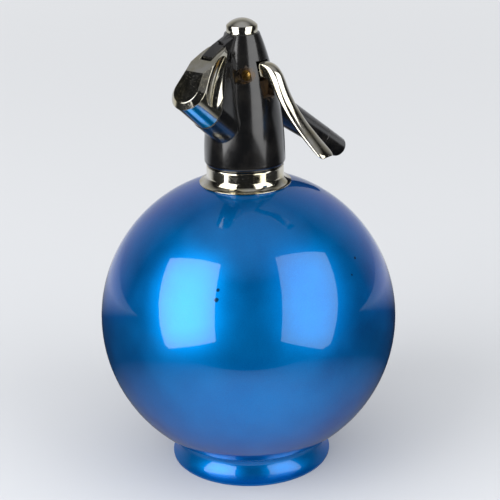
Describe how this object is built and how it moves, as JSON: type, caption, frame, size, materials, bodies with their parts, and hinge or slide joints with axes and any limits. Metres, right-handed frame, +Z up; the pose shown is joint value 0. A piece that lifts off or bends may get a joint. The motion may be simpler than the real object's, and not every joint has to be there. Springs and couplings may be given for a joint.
{
  "type": "soda siphon",
  "caption": "Ball-shaped soda siphon on a flared foot, with a lever-operated head, a drooping spout and a hinged gate over its gas bulb holder.",
  "frame": {"origin": "on the floor, at the centre of the foot", "axes": "+Z up the ball's axis, spout along +X, gas bulb holder along -X, lever along -Y"},
  "size_m": [0.1839, 0.178, 0.2725],
  "materials": {
    "lacquered_ball": "clear lacquer over blue metallic, high gloss",
    "chrome_trim": "aged bright plating, slightly pitted and yellowed",
    "moulded_head": "glossy black moulding",
    "brass_fitting": "turned",
    "steel_part": "satin",
    "rubber_seal": "matte",
    "tube_plastic": "extruded"
  },
  "bodies": {
    "vessel": {"vessel_shell": "lacquered_ball", "foot_ring": "lacquered_ball", "neck_collar": "chrome_trim"},
    "head": {"head_casing": "moulded_head", "valve_core": "brass_fitting", "neck_gasket": "rubber_seal", "valve_seat": "rubber_seal", "gland_seal": "rubber_seal", "pierce_seal": "rubber_seal", "spout_seal": "rubber_seal", "dip_grommet": "rubber_seal", "dip_tube": "tube_plastic", "spout_tube": "moulded_head", "spout_nozzle": "moulded_head", "pivot_screw": "brass_fitting", "cap_washer": "rubber_seal", "top_cap": "chrome_trim", "valve_spring": "steel_part", "gas_bulb": "steel_part", "piercing_pin": "steel_part", "gate_pin": "steel_part"},
    "lever": {"lever_arm": "chrome_trim", "lever_bush": "brass_fitting"},
    "stem": {"valve_stem": "steel_part", "stem_washer": "rubber_seal", "stem_nut": "brass_fitting", "lift_collar": "brass_fitting"},
    "gate": {"bulb_gate": "chrome_trim", "gate_pad": "rubber_seal"}
  },
  "joints": [
    {"name": "head_lift", "type": "slide", "parent": "vessel", "child": "head", "axis": [0, 0, 1], "range_m": [0, 0.19]},
    {"name": "lever_press", "type": "hinge", "parent": "head", "child": "lever", "pos_m": [0, -0.0105, 0.2427], "axis": [1, 0, 0], "range_deg": [0, 14], "stiffness_Nm_per_rad": 0.3, "springref_deg": -5.73},
    {"name": "stem_lift", "type": "slide", "parent": "head", "child": "stem", "axis": [0, 0, 1], "range_m": [0, 0.0026], "deforming": ["valve_spring"]},
    {"name": "gate_open", "type": "hinge", "parent": "head", "child": "gate", "pos_m": [-0.02291, 0, 0.25617], "axis": [0, 1, 0], "range_deg": [0, 100]}
  ],
  "couplings": [
    {"joint": "stem_lift", "follows": "lever_press", "m_per_rad": 0.0105}
  ]
}
